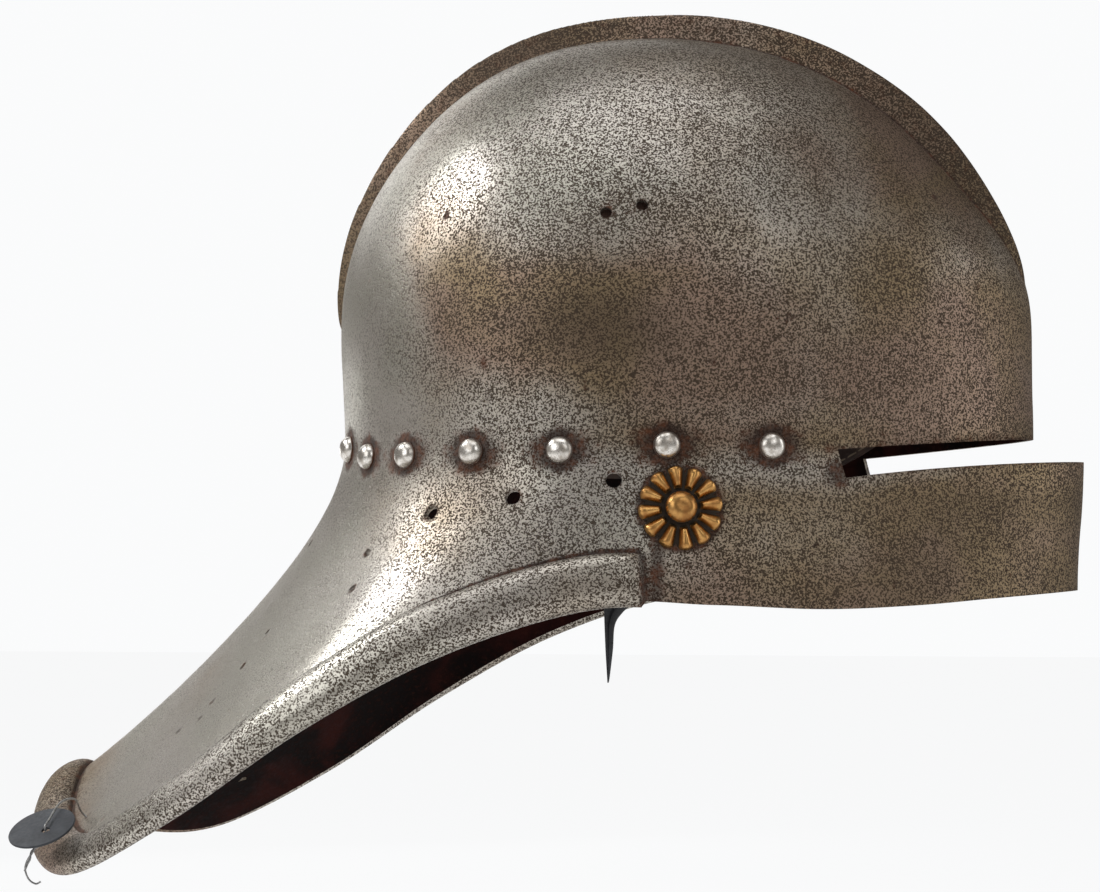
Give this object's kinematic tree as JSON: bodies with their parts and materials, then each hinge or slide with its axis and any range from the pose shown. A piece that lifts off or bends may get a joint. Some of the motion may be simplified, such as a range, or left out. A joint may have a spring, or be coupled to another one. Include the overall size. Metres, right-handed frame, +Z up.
{
  "type": "jousting sallet helmet",
  "caption": "One-piece steel helmet with sight slit, raised comb, long flared tail with turned border, riveted lining, brass rosettes, chin straps and a wired tag.",
  "frame": {"origin": "middle of the head opening, level with the lining rivets", "axes": "+X forward through the sight slit, +Y to the wearer's left, +Z up"},
  "size_m": [0.4017, 0.2726, 0.321],
  "materials": {
    "steel": "worn, finely pitted, brown patina",
    "rivet_steel": "polished by handling",
    "iron": "dull",
    "brass": "aged, dark in the grooves",
    "leather": "matt",
    "dark_leather": "matt",
    "linen": "quilted, dark",
    "tag": "satin",
    "wire": "thin drawn wire"
  },
  "bodies": {
    "helmet": {"skull_shell": "steel", "rim_wire": "iron", "lining_band": "leather", "liner_cap": "linen", "rivet_r1": "rivet_steel", "washer_r1": "iron", "rivet_r2": "rivet_steel", "washer_r2": "iron", "rivet_r3": "rivet_steel", "washer_r3": "iron", "rivet_r4": "rivet_steel", "washer_r4": "iron", "rivet_r5": "rivet_steel", "washer_r5": "iron", "rivet_r6": "rivet_steel", "washer_r6": "iron", "rivet_r7": "rivet_steel", "washer_r7": "iron", "rivet_l1": "rivet_steel", "washer_l1": "iron", "rivet_l2": "rivet_steel", "washer_l2": "iron", "rivet_l3": "rivet_steel", "washer_l3": "iron", "rivet_l4": "rivet_steel", "washer_l4": "iron", "rivet_l5": "rivet_steel", "washer_l5": "iron", "rivet_l6": "rivet_steel", "washer_l6": "iron", "rivet_l7": "rivet_steel", "washer_l7": "iron", "rosette_right": "brass", "rosette_rivet_right": "brass", "rosette_washer_right": "iron", "strap_fork_right": "dark_leather", "rosette_left": "brass", "rosette_rivet_left": "brass", "rosette_washer_left": "iron", "strap_fork_left": "dark_leather"},
    "strap_end": {"chin_strap_right": "dark_leather"},
    "buckle": {"buckle_frame": "iron"},
    "tongue": {"buckle_tongue": "iron"},
    "tag": {"tag_disc": "tag", "tag_wire": "wire"}
  },
  "joints": [
    {"name": "strap_swing", "type": "hinge", "parent": "helmet", "child": "strap_end", "pos_m": [-0.011, -0.1036, -0.045], "axis": [1, 0, 0], "range_deg": [-10, 75]},
    {"name": "buckle_swing", "type": "hinge", "parent": "helmet", "child": "buckle", "pos_m": [-0.015, 0.1036, -0.0376], "axis": [-1, 0, 0], "range_deg": [-12, 60]},
    {"name": "tongue_swing", "type": "hinge", "parent": "buckle", "child": "tongue", "pos_m": [-0.015, 0.1036, -0.0376], "axis": [-1, 0, 0], "range_deg": [0, 40]},
    {"name": "tag_lift", "type": "hinge", "parent": "helmet", "child": "tag", "pos_m": [-0.2166, -0.0638, -0.139], "axis": [-0.832, 0.5548, 0], "range_deg": [0, 30]}
  ]
}
